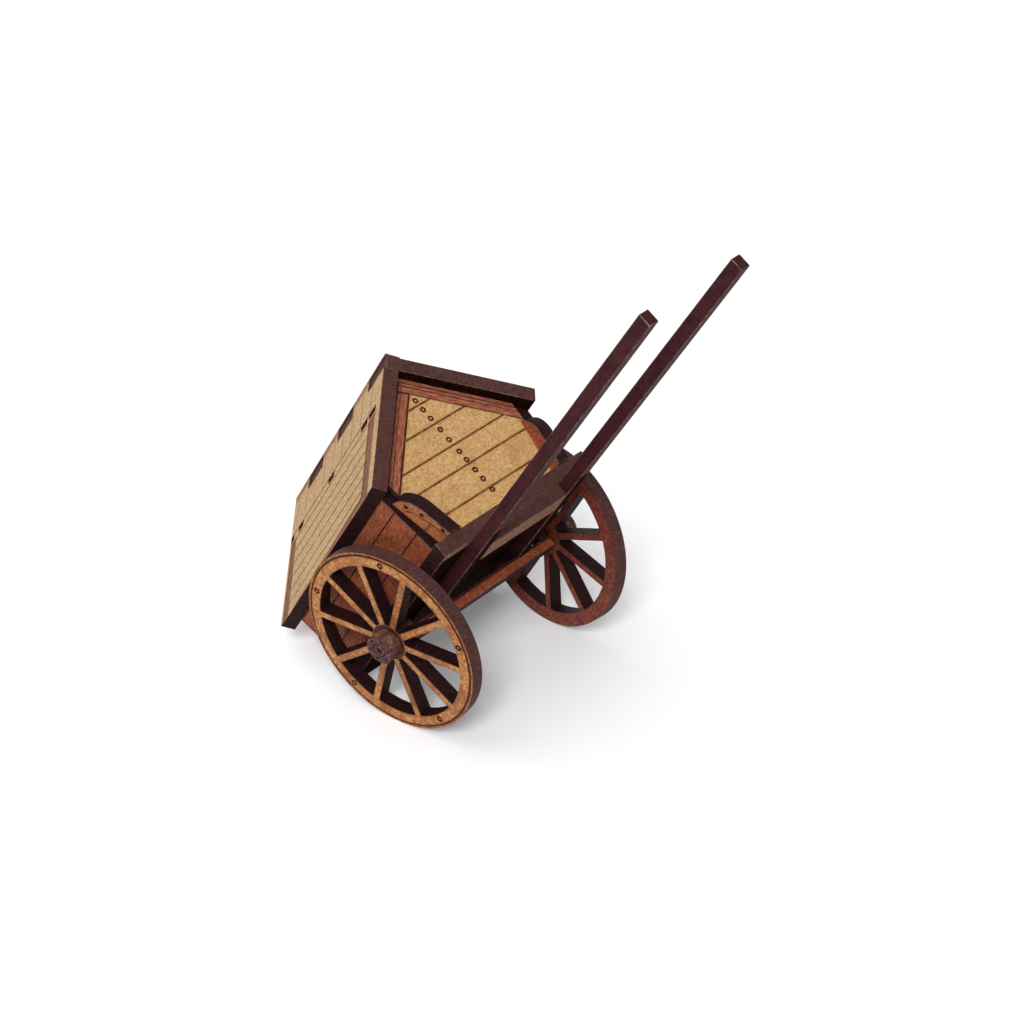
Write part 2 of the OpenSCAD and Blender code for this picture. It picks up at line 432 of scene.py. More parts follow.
# Raster bands, by the direction of their passes on the board
BAND = RasterBand("laser_raster_band", "#603323", "#844D33", "#A77051")
BAND_UPRIGHT = RasterBand("laser_raster_band_upright", "#56301F", "#76482F", "#96694B", turn_deg=90)
BAND_UP = RasterBand("laser_raster_band_rising", "#632D1E", "#8F4F36", "#B5755A", turn_deg=42.5)
BAND_DOWN = RasterBand("laser_raster_band_falling", "#632D1E", "#8F4F36", "#B5755A", turn_deg=-42.5)


# ---------------------------------------------------------------- bench work


def pick(*pieces: bpy.types.Object) -> None:
    """Selects these pieces and nothing else, the first one active."""
    bpy.ops.object.select_all(action="DESELECT")
    for piece in pieces:
        piece.select_set(True)
    bpy.context.view_layer.objects.active = pieces[0]


@contextmanager
def edited(piece: bpy.types.Object, action: str = "SELECT", kind: str = "") -> Iterator[bmesh.types.BMesh]:
    """Opens one piece in edit mode and closes it again.

    Args:
        piece: The piece.
        action: What happens to its selection first: all or nothing is selected.
        kind: Whether points, edges or faces are picked from then on, if that changes.

    Yields:
        Its mesh, for picking parts of it by their place.
    """
    pick(piece)
    bpy.ops.object.mode_set(mode="EDIT")
    if kind:
        bpy.ops.mesh.select_mode(type=kind)
    bpy.ops.mesh.select_all(action=action)
    yield bmesh.from_edit_mesh(piece.data)
    bpy.ops.object.mode_set(mode="OBJECT")


def fix_place(piece: bpy.types.Object) -> bpy.types.Object:
    """Moves a piece's place, turn and size into its mesh.

    Args:
        piece: The piece.

    Returns:
        The same piece.
    """
    pick(piece)
    bpy.ops.object.transform_apply(location=True, rotation=True, scale=True)
    return piece


def block(low: tuple[float, float, float], high: tuple[float, float, float]) -> bpy.types.Object:
    """Cuts a rectangular block.

    Args:
        low: Its lowest corner.
        high: Its highest corner.

    Returns:
        The block.
    """
    size = [b - a for a, b in zip(low, high)]
    centre = [(a + b) / 2 for a, b in zip(low, high)]
    bpy.ops.object.select_all(action="DESELECT")
    bpy.ops.mesh.primitive_cube_add(size=1, location=centre, scale=size)
    return fix_place(bpy.context.object)


def disc(
    radius: float, low: float, high: float, centre: tuple[float, float] = (0, 0), sides: int = 144
) -> bpy.types.Object:
    """Turns a round disc that stands on the flat board.

    Args:
        radius: Its radius.
        low: Height of its underside.
        high: Height of its top.
        centre: Its middle on the board.
        sides: Number of sides.

    Returns:
        The disc.
    """
    bpy.ops.object.select_all(action="DESELECT")
    bpy.ops.mesh.primitive_cylinder_add(
        vertices=sides, radius=radius, depth=high - low, location=(*centre, (low + high) / 2)
    )
    return fix_place(bpy.context.object)


def moved(piece: bpy.types.Object, matrix: Matrix) -> bpy.types.Object:
    """Puts a piece through a matrix, in its mesh.

    Args:
        piece: The piece.
        matrix: Where it goes.

    Returns:
        The same piece.
    """
    piece.matrix_world = matrix
    return fix_place(piece)


def copied(piece: bpy.types.Object, matrix: Matrix) -> bpy.types.Object:
    """Copies a piece with its own mesh, and puts the copy through a matrix.

    Args:
        piece: The piece, which stays as it is.
        matrix: Where the copy goes; a mirrored copy has its faces turned out again.

    Returns:
        The copy.
    """
    pick(piece)
    bpy.ops.object.duplicate(linked=False)
    twin = moved(bpy.context.view_layer.objects.active, matrix)
    if matrix.determinant() < 0:
        with edited(twin):
            bpy.ops.mesh.normals_make_consistent(inside=False)
    return twin


def saw(piece: bpy.types.Object, point: Vector, normal: Vector, keep_both: bool = False) -> None:
    """Saws through a piece with a plane and, as a rule, drops what lies beyond it.

    Args:
        piece: The piece.
        point: A point on the plane.
        normal: The plane's normal, towards the side that is dropped.
        keep_both: Keeps both sides, with only new edges where the plane is.
    """
    with edited(piece):
        bpy.ops.mesh.bisect(plane_co=point, plane_no=normal, use_fill=not keep_both, clear_outer=not keep_both)


def true_up(piece: bpy.types.Object) -> None:
    """Merges doubled points and needless edges that cutting leaves on flat faces."""
    with edited(piece):
        bpy.ops.mesh.remove_doubles(threshold=MERGE_MM)
        bpy.ops.mesh.dissolve_limited(angle_limit=math.radians(NEEDLESS_DEG), delimit={"MATERIAL"})


def paint(piece: bpy.types.Object, *finishes: Finish) -> None:
    """Gives a piece its list of finishes, in place of any it has."""
    piece.data.materials.clear()
    for finish in finishes:
        piece.data.materials.append(finish.material())


def paint_by_face(piece: bpy.types.Object, top: Finish, back: Finish, edge: Finish) -> None:
    """Finishes a flat board: its top, its back and the cut edges between them, with an arris finish last.

    Args:
        piece: The board, lying flat.
        top: Finish of the upward face.
        back: Finish of the downward face.
        edge: Finish of the cut edges.
    """
    paint(piece, top, back, edge, ARRIS_CHAR_AND_HIGHLIGHT)
    for face in piece.data.polygons:
        face.material_index = 0 if face.normal.z > FACING else 1 if face.normal.z < -FACING else 2


def repaint(piece: bpy.types.Object, finish: Finish, low: Vector, high: Vector, facing: Vector) -> None:
    """Gives another finish to the faces that lie within a box and face a given way.

    Args:
        piece: The piece.
        finish: The finish.
        low: The box's lowest corner.
        high: The box's highest corner.
        facing: The way that the faces must look.
    """
    piece.data.materials.append(finish.material())
    number = len(piece.data.materials) - 1
    for face in piece.data.polygons:
        middle = face.center
        inside = all(a <= c <= b for a, c, b in zip(low, middle, high))
        if inside and face.normal.dot(facing) > FACING:
            face.material_index = number


def ease_edges(piece: bpy.types.Object, width: float = ARRIS_MM, sharper_than_deg: float = 40.0) -> None:
    """Takes the arris off a board's sharp edges.

    Args:
        piece: The board, painted by face.
        width: Width of the arris.
        sharper_than_deg: Only edges that turn more than this are eased.
    """
    pick(piece)
    arris = piece.modifiers.new("arris", "BEVEL")
    arris.width = width
    arris.segments = 1
    arris.limit_method = "ANGLE"
    arris.angle_limit = math.radians(sharper_than_deg)
    arris.material = 3
    bpy.ops.object.modifier_apply(modifier=arris.name)
    true_up(piece)


def combine(piece: bpy.types.Object, others: list[bpy.types.Object], what: Cut = Cut.AWAY) -> bpy.types.Object:
    """Brings shapes to a piece one by one; the faces that they make keep the shapes' own finishes.

    Args:
        piece: The piece that stays.
        others: The shapes that are used up.
        what: Whether they are cut away or joined on.

    Returns:
        The piece.
    """
    for tool in others:
        pick(piece)
        cut = piece.modifiers.new("cut", "BOOLEAN")
        cut.operation = what.value
        cut.solver = "MANIFOLD"
        cut.material_mode = "TRANSFER"
        cut.object = tool
        bpy.ops.object.modifier_apply(modifier=cut.name)
        bpy.data.objects.remove(tool)
    true_up(piece)
    return piece


@dataclass
class Engraving:
    """The laser's marks on one face of a flat board, gathered first and then cut."""

    surface: float
    finish: Finish = LINE
    marks: list[bpy.types.Object] = field(default_factory=list)

    def line(
        self,
        start: tuple[float, float],
        end: tuple[float, float],
        width: float = 0.2,
        depth: float = 0.14,
        steps: tuple[tuple[float, float], ...] = ((0.0, 0.0),),
    ) -> None:
        """Marks a straight line, and copies of it.

        Args:
            start: Where it starts on the board.
            end: Where it ends.
            width: Its width.
            depth: Its depth.
            steps: How far each copy is moved; nothing for the line itself.
        """
        run = Vector(end) - Vector(start)
        first = block((0, -width / 2, -depth), (run.length, width / 2, PROUD))
        paint(first, self.finish)
        turn = Matrix.Rotation(math.atan2(run.y, run.x), 4, "Z")
        moved(first, Matrix.Translation((*start, self.surface)) @ turn)
        self._repeat(first, steps)

    def ring(
        self,
        radius: float,
        width: float,
        depth: float = 0.14,
        sides: int = 20,
        centres: tuple[tuple[float, float], ...] = ((0.0, 0.0),),
    ) -> None:
        """Marks a circle, or a round pit where the width is the radius, at each centre.

        Args:
            radius: Its outer radius.
            width: Width of the burnt line.
            depth: Its depth.
            sides: Number of sides.
            centres: Where it is marked on the board.
        """
        first = disc(radius, self.surface - depth, self.surface + PROUD, sides=sides)
        if width < radius:
            combine(first, [disc(radius - width, self.surface - 2 * depth, self.surface + 2 * PROUD, sides=sides)])
        paint(first, self.finish)
        self._repeat(first, centres)

    def _repeat(self, first: bpy.types.Object, steps: tuple[tuple[float, float], ...]) -> None:
        """Copies a mark to each step and puts the first one away."""
        self.marks += [copied(first, Matrix.Translation((*step, 0))) for step in steps]
        bpy.data.objects.remove(first)

    def cut(self, board: bpy.types.Object) -> None:
        """Cuts all the gathered marks into the board."""
        combine(board, self.marks)
        self.marks = []


# ---------------------------------------------------------------- the cart


@dataclass(frozen=True)
class Stance:
    """How the level cart stands once it is tipped back, read from the frame's wheel joints."""

    tip: float
    camber: float
    axle: Vector

    @classmethod
    def from_frame(cls) -> "Stance":
        """Reads the tip, the wheels' lean and the axle's place from the right wheel's joint."""
        joint = next(j for j in frame["joints"] if j["child"] == Body.RIGHT_WHEEL.value)
        axis = Vector(joint["axis"])
        tip = math.atan2(-axis.x, axis.z)
        return cls(tip, math.acos(axis.y), Vector(joint["pos_m"]) / MM)

    @property
    def parked(self) -> Matrix:
        """From the level cart, with its origin in the middle of the axle, to its parked place."""
        return Matrix.Translation((self.axle.x, 0, self.axle.z)) @ Matrix.Rotation(-self.tip, 4, "Y")

    def wheel(self, side: Side) -> Matrix:
        """From a wheel lying flat, its outer face up, to its place on the level cart.

        Args:
            side: The wheel's side.

        Returns:
            The matrix.
        """
        turn = Matrix.Rotation(-side.value * (math.pi / 2 + self.camber), 4, "X")
        return Matrix.Translation((0, -side.value * self.axle.y, 0)) @ turn


STANCE = Stance.from_frame()
# Turns a board over its second axis into the board of the other side
MIRROR = Matrix.Scale(-1, 4, Vector((1, 0, 0)))


def frame_of(origin: tuple[float, float, float], across: Vector, along: Vector) -> Matrix:
    """The matrix that stands a flat board up on the level cart.

    Args:
        origin: Where the board's own origin goes.
        across: Where its first axis points.
        along: Where its second axis points.

    Returns:
        The matrix.
    """
    out = across.cross(along)
    turn = Matrix((across, along, out)).transposed().to_4x4()
    return Matrix.Translation(origin) @ turn


@dataclass
class Assembly:
    """What every sub-assembly can do with a finished piece."""

    def settle(
        self, piece: bpy.types.Object, name: str, place: Matrix, node: str, slot: Slot, body: Body = Body.CART
    ) -> bpy.types.Object:
        """Brings a piece from its flat board to the parked cart and hands it to the frame.

        Args:
            piece: The piece, lying flat, in millimetres.
            name: The piece's name.
            place: From the flat board to the level cart.
            node: The frame's node that it stands for.
            slot: The record's material slot; not used.
            body: The body that it moves with.

        Returns:
            The piece.
        """
        piece.name = piece.data.name = name
        pick(piece)
        bpy.ops.object.shade_smooth_by_angle(angle=math.radians(30))
        spot = piece.data.attributes.new(BOARD_MM, "FLOAT_VECTOR", "POINT")
        # Each piece takes its grain and stains from another stretch of board
        per_letter, per_initial, per_node = GRAIN_STEPS_MM
        shift = Vector((per_letter * len(name) + per_initial * ord(name[0]), per_node * len(node), 0))
        for vertex, value in zip(piece.data.vertices, spot.data):
            value.vector = vertex.co + shift
        moved(piece, Matrix.Scale(MM, 4) @ STANCE.parked @ place)
        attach(piece, body.value)
        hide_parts(node)
        LOG.info("%s: %d faces, for %s", name, len(piece.data.polygons), node)
        return piece


@dataclass(frozen=True)
class Shell:
    """The body's driving sizes, in millimetres on the level cart, and the planes that bound it."""

    sheet: float = 2.0
    floor_half_w: float = 13.8
    floor_front_x: float = 17.2
    floor_rear_x: float = -16.0
    floor_z: float = 1.2
    wall_front_x: float = 14.7
    wall_rear_x: float = -15.6
    wall_foot_y: float = 12.8
    flare: float = math.radians(6)
    gable_front_x: float = 15.4
    gable_rear_x: float = -15.8
    slope: float = math.radians(42.5)
    ridge_z: float = 27.4
    slope_len: float = 20.6
    roof_front_x: float = 16.9
    roof_rear_x: float = -18.1
    fingers: int = 6

    @property
    def floor_top_z(self) -> float:
        """Height of the floor's upper face."""
        return self.floor_z + self.sheet

    @property
    def inner_foot_y(self) -> float:
        """Half the width between the side walls, at the floor."""
        return self.wall_foot_y - self.sheet / math.cos(self.flare)

    @property
    def inner_ridge_z(self) -> float:
        """Height at which the roof boards' undersides meet."""
        return self.ridge_z - self.sheet / math.cos(self.slope)

    def floor_plane(self) -> tuple[Vector, Vector]:
        """The floor's upper face, with what lies below it as waste."""
        return Vector((0, 0, self.floor_top_z)), Vector((0, 0, -1))

    def roof_plane(self, side: Side) -> tuple[Vector, Vector]:
        """A roof board's underside, with what lies above it as waste."""
        normal = Vector((0, side.value * math.sin(self.slope), math.cos(self.slope)))
        return Vector((0, 0, self.inner_ridge_z)), normal

    def wall_plane(self, side: Side) -> tuple[Vector, Vector]:
        """A side wall's inner face, with what lies outside it as waste."""
        normal = Vector((0, side.value * math.cos(self.flare), -math.sin(self.flare)))
        return Vector((0, side.value * self.inner_foot_y, self.floor_top_z)), normal

    def trim(self, piece: bpy.types.Object, place: Matrix, planes: list[tuple[Vector, Vector]]) -> None:
        """Saws a flat piece along planes of the level cart.

        Args:
            piece: The piece, lying flat.
            place: From the flat board to the level cart.
            planes: Points and normals on the level cart.
        """
        back = place.inverted()
        for point, normal in planes:
            saw(piece, back @ point, back.to_3x3() @ normal)

    def side_place(self, side: Side) -> Matrix:
        """From a flat side piece, its outer face up at the sheet's thickness, to the leaning wall."""
        up = Vector((0, side.value * math.sin(self.flare), math.cos(self.flare)))
        across = Vector((-side.value, 0, 0))
        out = across.cross(up)
        foot = Vector((0, side.value * self.wall_foot_y, self.floor_top_z)) - out * self.sheet
        return frame_of(tuple(foot), across, up)

    def roof_place(self, side: Side) -> Matrix:
        """From a flat roof board, its outer face up, its second axis down the slope, to the roof."""
        down = Vector((0, side.value * math.cos(self.slope), -math.sin(self.slope)))
        across = Vector((side.value, 0, 0))
        out = across.cross(down)
        return frame_of(tuple(Vector((0, 0, self.ridge_z)) - out * self.sheet), across, down)


SHELL = Shell()


def span(sign: float, a: float, b: float) -> tuple[float, float]:
    """Two positions, mirrored if the sign is negative, the lower one first."""
    return min(sign * a, sign * b), max(sign * a, sign * b)


@dataclass
class SideWalls(Assembly):
    """Two low side walls that lean outwards, engraved as three planks."""

    # Height of the first line between planks up the wall from the floor, and of the second one above it
    plank_line: float = 2.9
    plank_step: float = 3.8
    # Upward reach before the wall is sawn off under the roof
    blank_h: float = 16.0
    # Height of the strip under the eave that is painted black as the eave's shadow
    sooted_h: float = 1.6

    def build(self) -> None:
        """Cuts the right wall, and mirrors a copy of it for the left."""
        s = SHELL
        wall = block((s.wall_rear_x, -1, 0), (s.wall_front_x, self.blank_h, s.sheet))
        place = s.side_place(Side.RIGHT)
        s.trim(wall, place, [s.floor_plane(), s.roof_plane(Side.RIGHT)])
        under_eave = max(vertex.co.y for vertex in wall.data.vertices) - self.sooted_h
        saw(wall, Vector((0, under_eave, 0)), Vector((0, 1, 0)), keep_both=True)
        paint_by_face(wall, WALL_FACE, PAINTED_SHADE_FACE, DEEP_EDGE_AND_SHADE)
        # The strip under the eave gets painted shade, for the eave's shadow
        low, high = Vector((s.wall_rear_x, under_eave, 1)), Vector((s.wall_front_x, self.blank_h, 3))
        repaint(wall, PAINTED_SHADE_FACE, low, high, Vector((0, 0, 1)))
        ease_edges(wall)
        marks = Engraving(s.sheet, DARK_LINE)
        ends = (s.wall_rear_x - 1, self.plank_line), (s.wall_front_x + 1, self.plank_line)
        marks.line(*ends, steps=((0, 0), (0, self.plank_step)))
        marks.cut(wall)
        walls = {Side.LEFT: copied(wall, MIRROR), Side.RIGHT: wall}
        for side, board in walls.items():
            name = f"side_wall_{side.word}"
            self.settle(board, f"{name}_board", s.side_place(side), name, Slot.PANEL)


@dataclass
class Cheeks(Assembly):
    """Two rounded cheeks that lean out ahead of the side walls, engraved with a frame and three pins."""

    front_x: float = 17.5
    top: float = 8.6
    round_r: float = 3.8
    foot_y: float = 9.2
    lean: float = math.radians(12.5)
    # Inner line of the frame, from the floor up along the curve, and the joint of its rail
    frame: tuple[tuple[float, float], ...] = (
        (16.65, 0.3), (16.55, 3.2), (16.45, 3.8), (16.25, 4.8), (16.0, 5.8), (15.3, 6.5)
    )
    rail: tuple[tuple[float, float], ...] = ((14.9, 3.1), (16.6, 3.1))
    pins: tuple[tuple[float, float], ...] = ((16.0, 6.75), (16.8, 4.6), (17.1, 1.4))

    def place(self, side: Side) -> Matrix:
        """From a flat cheek, its outer face up at the sheet's thickness, to the leaning cheek."""
        up = Vector((0, side.value * math.sin(self.lean), math.cos(self.lean)))
        return frame_of((0, side.value * self.foot_y, SHELL.floor_top_z), Vector((-side.value, 0, 0)), up)

    def blank(self) -> bpy.types.Object:
        """The right cheek's solid, lying flat, its front top corner rounded."""
        piece = block((self.front_x - 2 * self.round_r, -1, 0), (self.front_x, self.top, SHELL.sheet))
        reach = Vector((self.front_x - NEAR_MM, self.top - NEAR_MM))
        with edited(piece, "DESELECT", "EDGE") as shape:
            for edge in shape.edges:
                edge.select = all(v.co.y > reach.y and v.co.x > reach.x for v in edge.verts)
            bmesh.update_edit_mesh(piece.data)
            bpy.ops.mesh.bevel(offset=self.round_r, segments=24, affect="EDGES")
        wall_end = Vector((SHELL.wall_front_x, 0, 0)), Vector((-1, 0, 0))
        planes = [SHELL.floor_plane(), SHELL.roof_plane(Side.RIGHT), wall_end]
        SHELL.trim(piece, self.place(Side.RIGHT), planes)
        paint_by_face(piece, CHEEK_FACE, WALL_FACE, DEEP_EDGE_AND_SHADE)
        return piece

    def build(self) -> None:
        """Cuts and engraves the right cheek, and mirrors a copy of it for the left."""
        piece = self.blank()
        ease_edges(piece)
        pins = Engraving(SHELL.sheet, DARK_LINE)
        pins.ring(0.3, 0.3, 0.2, 16, self.pins)
        pins.cut(piece)
        marks = Engraving(SHELL.sheet, LINE)
        for start, end in zip(self.frame, self.frame[1:]):
            marks.line(start, end, 0.22)
        marks.line(*self.rail, 0.26, 0.16)
        marks.cut(piece)
        cheeks = {Side.LEFT: copied(piece, MIRROR), Side.RIGHT: piece}
        for side, board in cheeks.items():
            name = f"cheek_{side.word}"
            self.settle(board, f"{name}_board", self.place(side), name, Slot.PANEL)


@dataclass
class Gables(Assembly):
    """The end boards, engraved as planks with rivets, under a raster band along both slopes."""

    # Heights of the lines between planks, and of the rivets, above the axle
    plank_lines: tuple[float, ...] = (6.0, 10.0, 13.1, 16.7, 19.9)
    rivets: tuple[float, ...] = (5.6, 7.4, 8.9, 10.6, 12.0, 14.0, 15.7, 17.6, 19.1, 20.6)
    rivet_r: float = 0.42
    # Half the width and the height of the blank that each gable is sawn from
    blank_size: tuple[float, float] = (18.0, 30.0)
    band_w: float = 2.1
    # Lines that run with the band: inset from the slope, width and depth
    band_lines: tuple[tuple[float, float, float], ...] = ((0.55, 0.14, 0.2), (1.05, 0.1, 0.17), (2.1, 0.24, 0.2))

    def place(self, sign: int) -> Matrix:
        """From the flat gable to the front of the level cart, or with a negative sign to its rear."""
        face_x = SHELL.gable_front_x if sign > 0 else SHELL.gable_rear_x
        return frame_of((face_x - sign * SHELL.sheet, 0, 0), Vector((0, sign, 0)), Vector((0, 0, 1)))

    def build(self) -> None:
        """Cuts and engraves one gable, copies it for the rear, and notches the front one over the cheeks."""
        s = SHELL
        half_w, height = self.blank_size
        front = block((-half_w, 0, 0), (half_w, height, s.sheet))
        planes = [s.floor_plane()]
        for side in Side:
            planes += [s.roof_plane(side), s.wall_plane(side)]
        s.trim(front, self.place(1), planes)
        paint_by_face(front, BOARD_FACE, PAINTED_SHADE_FACE, EDGE)
        ease_edges(front, ARRIS_MM * 0.6)
        self._engrave(front)
        rear = copied(front, Matrix.Identity(4))
        cheeks = Cheeks()
        cheek = cheeks.blank()
        to_gable = self.place(1).inverted()
        notches = [copied(cheek, to_gable @ cheeks.place(Side.RIGHT))]
        notches.append(copied(cheek, to_gable @ cheeks.place(Side.LEFT) @ MIRROR))
        bpy.data.objects.remove(cheek)
        combine(front, notches)
        self.settle(front, "front_gable_board", self.place(1), "front_gable", Slot.PANEL)
        self.settle(rear, "rear_gable_board", self.place(-1), "rear_gable", Slot.PANEL)

    def _engrave(self, board: bpy.types.Object) -> None:
        """Cuts the bands, then the lines and rivets, into the outer face."""
        s = SHELL
        apex = Vector((0, s.inner_ridge_z))
        fine = Engraving(s.sheet, DARK_LINE)
        for sign, finish in ((1, BAND_DOWN), (-1, BAND_UP)):
            down = Vector((sign * math.cos(s.slope), -math.sin(s.slope)))
            inward = Vector((-sign * math.sin(s.slope), -math.cos(s.slope)))
            band = Engraving(s.sheet, finish)
            middle = apex + inward * (self.band_w / 2 - 0.5)
            band.line(tuple(middle - down * 2), tuple(middle + down * 18), self.band_w + 1, 0.12)
            band.cut(board)
            for inset, width, depth in self.band_lines:
                start = apex + inward * inset + down * (inset * math.tan(s.slope) if sign < 0 else 0)
                fine.line(tuple(start), tuple(start + down * 19), width, depth)
        fine.cut(board)
        marks = Engraving(s.sheet, LINE)
        for height in self.plank_lines:
            reach = (s.inner_ridge_z - height) / math.tan(s.slope) - self.band_w / math.sin(s.slope)
            reach = min(reach, s.wall_foot_y + 2)
            marks.line((-reach, height), (reach, height), 0.28)
        marks.cut(board)
        rivets = Engraving(s.sheet, DARK_LINE)
        rivets.ring(self.rivet_r, 0.27, 0.16, 20, tuple((0.0, height) for height in self.rivets))
        rivets.cut(board)


@dataclass
class RoofBoard(Assembly):
    """One roof board: fingers along the ridge, short planks above a line of slots, long planks below it."""

    side: Side = Side.RIGHT
    # Short planks: the first line ahead of the rear edge, their pitch and number
    short_from_x: float = -16.2
    short_pitch: float = 3.63
    short_lines: int = 9
    # Down the slope: the line between the two fields, the long planks' first line, pitch and number
    field_v: float = 6.65
    long_from_v: float = 8.1
    long_pitch: float = 2.08
    long_lines: int = 6
    # Raster bands of the lower field, along its front, rear and eave
    front_band: tuple[float, float] = (12.7, 15.1)
    rear_band: tuple[float, float] = (-17.4, -15.4)
    eave_band: float = 19.5
    # Slots burnt along the line between the fields, from one x to another
    slots: tuple[tuple[float, float], ...] = ((12.7, 15.1), (9.8, 12.1), (-2.7, -0.5), (-14.8, -12.8), (-18.0, -16.7))
    slot_v: tuple[float, float] = (6.7, 7.6)
    # The right board's fingers stand out through the left board, whose own stop short
    starts: tuple[float, float] = (-0.3, 0.2)
    scorched_v: float = 0.9

    def slab(self, x0: float, x1: float, start: float) -> bpy.types.Object:
        """A flat slab of this roof board between two stations.

        Args:
            x0: Its rear end.
            x1: Its front end.
            start: Where it starts down the slope.

        Returns:
            The slab, lying flat.
        """
        low, high = span(self.side.value, x0, x1)
        return block((low, start, 0), (high, SHELL.slope_len, SHELL.sheet))

    def build(self) -> None:
        """Cuts the board and its fingers, engraves it and settles it."""
        s = SHELL
        proud = self.side is Side.RIGHT
        board = self.slab(s.roof_rear_x, s.roof_front_x, self.starts[0 if proud else 1])
        other = RoofBoard(side=Side(-self.side.value))
        to_here = s.roof_place(self.side).inverted() @ s.roof_place(other.side)
        finger = (s.roof_front_x - s.roof_rear_x) / s.fingers
        first = s.roof_rear_x + (0 if self.side is Side.LEFT else finger)
        notch = other.slab(first, first + finger, -1)
        step = other.side.value * finger * 2
        notches = [copied(notch, to_here @ Matrix.Translation((step * i, 0, 0))) for i in range(s.fingers // 2)]
        bpy.data.objects.remove(notch)
        combine(board, notches)
        if proud:
            saw(board, Vector((0, self.scorched_v, 0)), Vector((0, 1, 0)), keep_both=True)
        paint_by_face(board, ROOF_FACE, PAINTED_SHADE_FACE, EDGE)
        if proud:
            repaint(board, SCORCHED_FACE, Vector((-20, -1, 1)), Vector((20, self.scorched_v, 3)), Vector((0, 0, 1)))
        # The eave's cut edge is painted nearly black as shade
        repaint(board, DEEP_EDGE_AND_SHADE, Vector((-20, 20, 0)), Vector((20, 21, 2)), Vector((0, 1, 0)))
        ease_edges(board)
        self._engrave(board)
        name = f"roof_{self.side.word}"
        self.settle(board, f"{name}_board", s.roof_place(self.side), name, Slot.PANEL)

    def _engrave(self, board: bpy.types.Object) -> None:
        """Cuts bands first, then planks and slots, into the outer face."""
        s = SHELL
        sign = self.side.value
        top = self.long_from_v - 0.2
        for x0, x1 in (self.front_band, self.rear_band):
            upright = Engraving(s.sheet, BAND_UPRIGHT)
            upright.line((sign * (x0 + x1) / 2, top), (sign * (x0 + x1) / 2, s.slope_len + 1), x1 - x0, 0.1)
            upright.cut(board)
        eave = Engraving(s.sheet, BAND)
        middle = (self.eave_band + s.slope_len + 1) / 2
        x0, x1 = span(sign, self.rear_band[1], self.front_band[0])
        eave.line((x0, middle), (x1, middle), s.slope_len + 1 - self.eave_band, 0.1)
        eave.cut(board)
        marks = Engraving(s.sheet, SOFT_LINE)
        x = sign * self.short_from_x
        short_steps = tuple((sign * i * self.short_pitch, 0.0) for i in range(self.short_lines))
        marks.line((x, 0.9), (x, self.field_v), 0.18, 0.12, short_steps)
        long_steps = tuple((0.0, i * self.long_pitch) for i in range(self.long_lines))
        marks.line((x0, self.long_from_v), (x1, self.long_from_v), 0.22, 0.13, long_steps)
        marks.cut(board)
        burnt = Engraving(s.sheet, DARK_LINE)
        ends = span(sign, self.rear_band[0], self.front_band[1])
        burnt.line((ends[0], self.field_v), (ends[1], self.field_v), 0.16, 0.15)
        for x0, x1 in self.slots:
            middle = sum(self.slot_v) / 2
            burnt.line((sign * x0, middle), (sign * x1, middle), self.slot_v[1] - self.slot_v[0], 0.5)
        burnt.cut(board)


